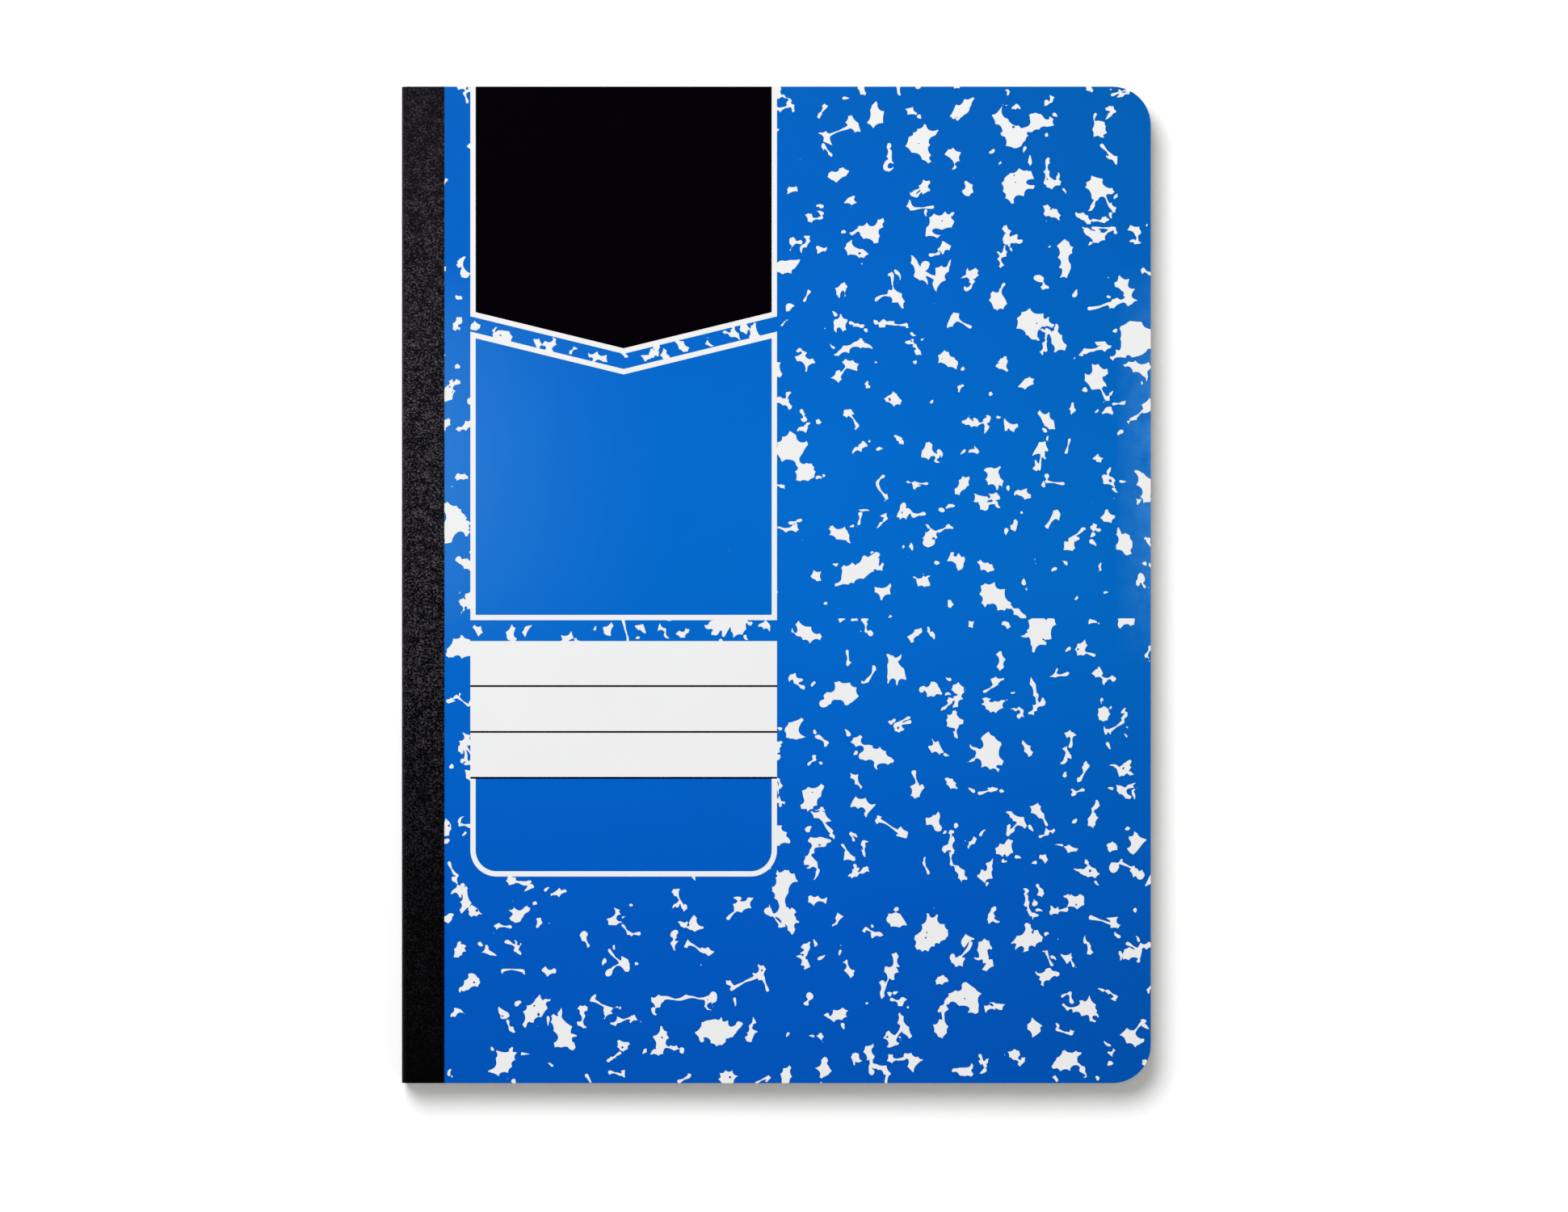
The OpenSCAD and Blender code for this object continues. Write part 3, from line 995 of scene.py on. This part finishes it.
def strayCorners(luck, x, y, reach, counts):
    # a rough polygon, mostly longer than wide
    count, stretch = luck.choice(counts), luck.uniform(1, 1.6)
    turn = luck.uniform(0, math.tau)
    corners = []
    for step in range(count):
        angle = (step + luck.uniform(-0.3, 0.3)) * math.tau / count
        span = reach * luck.uniform(0.55, 1.3)
        alongX, alongY = span * math.cos(angle) * stretch, span * math.sin(angle) / stretch
        corners.append((
            x + alongX * math.cos(turn) - alongY * math.sin(turn),
            y + alongX * math.sin(turn) + alongY * math.cos(turn),
        ))
    return corners


def addLarge(pattern, corners):
    # a fleck of the CAD, sometimes with a smaller one hanging on it by a neck
    luck = pattern["luck"]
    horns = marbleSettings["hornChance"][0]
    area = abs(signedArea(corners))
    middle = middleOf(corners)
    inStrip = area > marbleSettings["stripArea"] and middle[0] < label["left"]
    grow = marbleSettings["stripGrow" if inStrip else "grow"]
    corners = [
        tuple(middle[axis] + (corner[axis] - middle[axis]) * grow for axis in range(2)) for corner in corners
    ]
    holes = sum(area > least and luck.random() < chance for least, chance in marbleSettings["largeHoles"])
    bays = int(luck.random() < marbleSettings["bayChance"][0])
    bays += sum(area > least for least in marbleSettings["largeBays"])
    addFleck(pattern, corners, horns, bays, holes)
    if luck.random() < marbleSettings["hangChance"] and area < marbleSettings["hangBelow"]:
        corner = corners[luck.randrange(len(corners))]
        heading = math.atan2(corner[1] - middle[1], corner[0] - middle[0]) + luck.uniform(-0.6, 0.6)
        place = ahead(corner, heading, luck.uniform(*marbleSettings["hangApart"]))
        hanging = strayCorners(luck, *place, luck.uniform(*marbleSettings["hangReach"]), (4, 5))
        addFleck(pattern, hanging, horns)
        addNeck(pattern, ahead(corner, heading, -0.7), place)


def addStray(pattern, x, y, reach, links=0):
    # a small fleck and the ones that hang on it by necks
    luck = pattern["luck"]
    horns = marbleSettings["hornChance"][1]
    holes = int(reach > 2 and luck.random() < marbleSettings["holeChance"])
    bays = int(reach > 1.2 and luck.random() < marbleSettings["bayChance"][1])
    addFleck(pattern, strayCorners(luck, x, y, reach, (3, 4, 4, 5)), horns, bays, holes)
    for link in range(links):
        heading = luck.uniform(0, math.tau)
        other = reach * luck.uniform(0.5, 0.95)
        place = ahead((x, y), heading, (reach + other) * luck.uniform(0.75, 1.05))
        addFleck(pattern, strayCorners(luck, *place, other, (3, 4)), horns)
        addNeck(pattern, (x, y), place)


def bled(corners, frontSide):
    # corners that an edge has cut move on past it
    step, tolerance = 0.05, 0.02
    moved = []
    for x, y in corners:
        here, right, up = openDepth(np.array([x, x + step, x]), np.array([y, y, y + step]), frontSide)
        limit = label["overlap"] if frontSide and label["left"] - 1 < x < label["right"] + 1 else 0
        if min(abs(here - limit), abs(here)) < tolerance:
            slope = np.array([right - here, up - here])
            x, y = np.array([x, y]) - slope / max(np.hypot(*slope), 1e-9) * marbleSettings["cutBleed"]
        moved.append((float(x), float(y)))
    return moved


def depthAt(pattern, x, y):
    rows, columns = pattern["field"].shape
    row, column = int(y / marbleSettings["grid"]), int(x / marbleSettings["grid"])
    return pattern["field"][min(row, rows - 1), min(column, columns - 1)]


def addStrays(pattern):
    # one small fleck in each square of the cover, unless there is hardly room for it
    luck = pattern["luck"]
    pitch = marbleSettings["strayPitch"]
    for column in range(int(book["width"] / pitch) + 1):
        for row in range(int(book["height"] / pitch) + 1):
            spots = [
                ((column + luck.random()) * pitch, (row + luck.random()) * pitch)
                for spot in range(marbleSettings["strayTries"])
            ]
            x, y = min(spots, key=lambda spot: depthAt(pattern, *spot))
            area = math.exp(luck.gauss(*marbleSettings["strayArea"]))
            reach = min(math.sqrt(area / marbleSettings["fullness"]), marbleSettings["strayReach"])
            crowded = depthAt(pattern, x, y) > -marbleSettings["strayRoom"] * reach
            if crowded and luck.random() < marbleSettings["crowdedOut"]:
                continue
            links = sum(reach > 1 and luck.random() < chance for chance in marbleSettings["linkChance"])
            addStray(pattern, x, y, reach, links)


def addGapFlecks(pattern):
    # more flecks in the two narrow gaps between the label's fields
    luck = pattern["luck"]
    centre, half = (label["left"] + label["right"]) / 2, (label["right"] - label["left"]) / 2
    gaps = (("bannerFoot", "titleHead", label["drop"]), ("titleFoot", "writingHead", 0))
    for (upper, lower, drop), count in zip(gaps, marbleSettings["gapFlecks"]):
        down = (label[upper] + label[lower]) / 2
        for spot in range(count):
            across = (spot + luck.random()) / count * 2 - 1
            y = book["height"] - down - drop * (1 - abs(across))
            addStray(pattern, centre + across * half, y, luck.uniform(*marbleSettings["gapReach"]))


def addShards(pattern):
    luck = pattern["luck"]
    for spot in range(int(book["width"] * book["height"] / marbleSettings["shardPitch"] ** 2)):
        x, y = luck.uniform(0, book["width"]), luck.uniform(0, book["height"])
        addStray(pattern, x, y, luck.uniform(*marbleSettings["shardReach"]))


def makePattern(nodeName, seed, frontSide):
    pattern = startPattern(seed, frontSide)
    for corners in cornersOfNode(nodeName, frontSide):
        addLarge(pattern, bled(corners, frontSide))
    addStrays(pattern)
    if frontSide:
        addGapFlecks(pattern)
    addShards(pattern)
    around = np.pad(pattern["field"], 1, mode="edge")
    beside = around[:-2, 1:-1] + around[2:, 1:-1] + around[1:-1, :-2] + around[1:-1, 2:]
    own = marbleSettings["smoothing"]
    smoothed = (beside + own * pattern["field"]) / (4 + own)
    return np.minimum(smoothed + marbleSettings["spread"], pattern["open"])


def drawPattern(bm, pattern):
    # a fine grid whose points stand as high as the pattern says
    pitch = marbleSettings["grid"]
    rows, columns = pattern.shape
    bmesh.ops.create_grid(bm, x_segments=columns - 1, y_segments=rows - 1, size=0.5)
    sheet = bpy.data.meshes.new("patternSheet")
    bm.to_mesh(sheet)
    places = np.zeros(len(sheet.vertices) * 3, np.float32)
    sheet.vertices.foreach_get("co", places)
    places = places.reshape(-1, 3)
    column, row = (
        np.rint((places[:, axis] + 0.5) * (count - 1)).astype(int)
        for axis, count in ((0, columns), (1, rows))
    )
    places[:] = np.stack([column * pitch, row * pitch, np.clip(pattern[row, column], -1, 1)], axis=1)
    sheet.vertices.foreach_set("co", places.ravel())
    bm.clear()
    bm.from_mesh(sheet)
    bpy.data.meshes.remove(sheet)


def makeMarbling(name, nodeName, seed, frontSide):
    bm = bmesh.new()
    drawPattern(bm, makePattern(nodeName, seed, frontSide))
    bmesh.ops.bisect_plane(
        bm, geom=[*bm.verts, *bm.edges, *bm.faces], dist=1e-4, plane_co=(0, 0, 0), plane_no=(0, 0, 1),
        clear_inner=True,
    )
    bmesh.ops.scale(bm, vec=(1, 1, 0), verts=bm.verts)
    bmesh.ops.remove_doubles(bm, verts=bm.verts, dist=marbleSettings["smallestEdge"])
    mergeFlat(bm)
    bmesh.ops.translate(bm, vec=(0, 0, paperTop), verts=bm.verts)
    printed = bmesh.ops.extrude_face_region(bm, geom=list(bm.faces))["geom"]
    bmesh.ops.translate(bm, vec=(0, 0, marbleSettings["ink"]), verts=onlyVerts(printed))
    print(name, "open edges:", sum(not edge.is_manifold for edge in bm.edges))
    return makePiece(name, bm, whitePrint, not frontSide)


for side, seed in (("front", 21), ("back", 8)):
    marbling = makeMarbling(side + "Marbling", side + "_marbling", seed, side == "front")
    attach(marbling, side + "_cover")
    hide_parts(side + "_marbling")
    triangles = sum(len(face.vertices) - 2 for face in marbling.data.polygons)
    print(marbling.name, "ready:", triangles, "triangles")

# Gutter strips: a paper hinge between each cover and the pages
gutterSettings = {
    "reach": 6.0,
    "foldX": 0.66,
    "foldDip": 0.02,
    "inset": 0.1,
    "paper": 0.002,
    "blockDepth": 0.0105,  # below the block's face
    "coverDepth": 0.0035,
}


def makeGutter(name, backSide):
    bm = bmesh.new()
    reach, foldX, inset = (gutterSettings[size] for size in ("reach", "foldX", "inset"))
    lowZ, highZ = (book["blockTop"] - gutterSettings[depth] for depth in ("blockDepth", "coverDepth"))
    line = [(reach, lowZ), (foldX, lowZ), (foldX - gutterSettings["foldDip"], (lowZ + highZ) / 2)]
    line += [(foldX, highZ), (reach, highZ)]
    far, faces = drawOut(bm, sectionLine(bm, line, inset)[1])
    bmesh.ops.translate(bm, vec=(0, book["height"] - 2 * inset, 0), verts=far)
    bmesh.ops.solidify(bm, geom=faces, thickness=-gutterSettings["paper"])
    return makePiece(name, bm, endPaper, backSide)


for side, backSide in (("front", False), ("back", True)):
    gutter = makeGutter(side + "Gutter", backSide)
    lowZ = book["blockTop"] - gutterSettings["blockDepth"]
    highZ = book["blockTop"] - gutterSettings["coverDepth"] - gutterSettings["paper"]
    if backSide:
        lowZ, highZ = book["thickness"] - lowZ, book["thickness"] - highZ
    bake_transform(gutter)
print("gutter strips ready")

# Floor: pale, and as white as paper to the camera and to glossy surfaces, with the book's shadow kept
floorSettings = {"size": 6.0, "pale": 0.8, "white": 1.12}


def makeFloor():
    bm = bmesh.new()
    bmesh.ops.create_grid(bm, x_segments=2, y_segments=2, size=floorSettings["size"] / 2)
    material, tree, shader, _ = newMaterial("floorPaper", 1.0, 0.0)
    path = addNode(tree, "ShaderNodeLightPath")
    seen = mathNode(tree, "MAXIMUM", path.outputs["Is Camera Ray"], path.outputs["Is Glossy Ray"])
    pale, white = ((tone, tone, tone, 1) for tone in (floorSettings["pale"], floorSettings["white"]))
    tree.links.new(mixColour(tree, seen, pale, white), shader.inputs["Base Color"])
    makePiece("floor", bm, material, placing=Matrix())


makeFloor()
print("floor ready")
